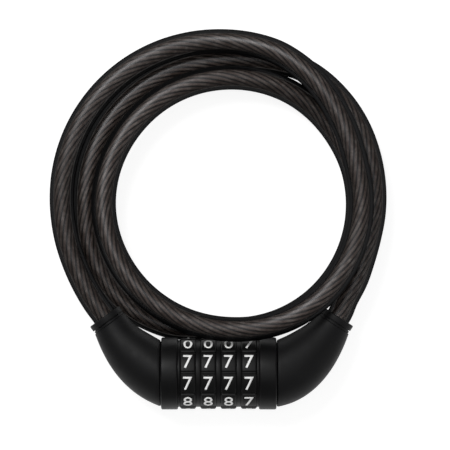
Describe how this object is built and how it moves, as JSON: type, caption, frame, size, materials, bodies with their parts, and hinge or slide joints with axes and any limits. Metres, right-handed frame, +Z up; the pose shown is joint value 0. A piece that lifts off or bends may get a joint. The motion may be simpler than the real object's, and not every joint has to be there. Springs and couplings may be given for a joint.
{
  "type": "combination cable lock",
  "caption": "Self-coiling armoured cable lock; both cable ends sit in elbow boots on a barrel of number dials, and one end pulls out as a plug.",
  "frame": {"origin": "on the surface that the lock lies on, under the middle of the lock without its cable", "axes": "+X along the barrel from the fixed half to the plug, +Y from the barrel towards the coil, +Z up"},
  "size_m": [0.1643, 0.1855, 0.0351],
  "materials": {
    "boot_rubber": "matt moulded rubber with a soft sheen",
    "housing": "satin black moulded plastic",
    "dial_plastic": "satin black moulded plastic",
    "steel": "machined and zinc plated",
    "smoked_vinyl": "glossy clear vinyl with a smoke tint",
    "wire_rope": "bare stranded steel wire",
    "numeral_ink": "white filled numerals"
  },
  "bodies": {
    "lock_body": {"left_boot": "boot_rubber", "left_gland": "boot_rubber", "left_collar": "housing", "left_anchor": "steel", "left_ferrule": "steel", "left_cross_pin": "steel", "spacer_ring_1": "housing", "spacer_ring_2": "housing", "spacer_ring_3": "housing", "left_end_ring": "housing", "right_end_ring": "housing", "core_sleeve": "steel", "cable_sheath": "smoked_vinyl", "cable_core": "wire_rope"},
    "dial_1": {"number_wheel_1": "dial_plastic", "code_disc_1": "steel"},
    "dial_2": {"number_wheel_2": "dial_plastic", "code_disc_2": "steel"},
    "dial_3": {"number_wheel_3": "dial_plastic", "code_disc_3": "steel"},
    "dial_4": {"number_wheel_4": "dial_plastic", "code_disc_4": "steel"},
    "plug": {"locking_pin": "steel", "right_collar": "housing", "right_anchor": "steel", "right_ferrule": "steel", "right_cross_pin": "steel", "right_boot": "boot_rubber", "right_gland": "boot_rubber"}
  },
  "joints": [
    {"name": "dial_1_turn", "type": "hinge", "parent": "lock_body", "child": "dial_1", "pos_m": [0, -0.00753, 0.01755], "axis": [1, 0, 0], "continuous": true},
    {"name": "dial_2_turn", "type": "hinge", "parent": "lock_body", "child": "dial_2", "pos_m": [0, -0.00753, 0.01755], "axis": [1, 0, 0], "continuous": true},
    {"name": "dial_3_turn", "type": "hinge", "parent": "lock_body", "child": "dial_3", "pos_m": [0, -0.00753, 0.01755], "axis": [1, 0, 0], "continuous": true},
    {"name": "dial_4_turn", "type": "hinge", "parent": "lock_body", "child": "dial_4", "pos_m": [0, -0.00753, 0.01755], "axis": [1, 0, 0], "continuous": true},
    {"name": "plug_slide", "type": "slide", "parent": "lock_body", "child": "plug", "axis": [1, 0, 0], "range_m": [0, 0.045], "deforming": ["cable_sheath", "cable_core"]}
  ]
}
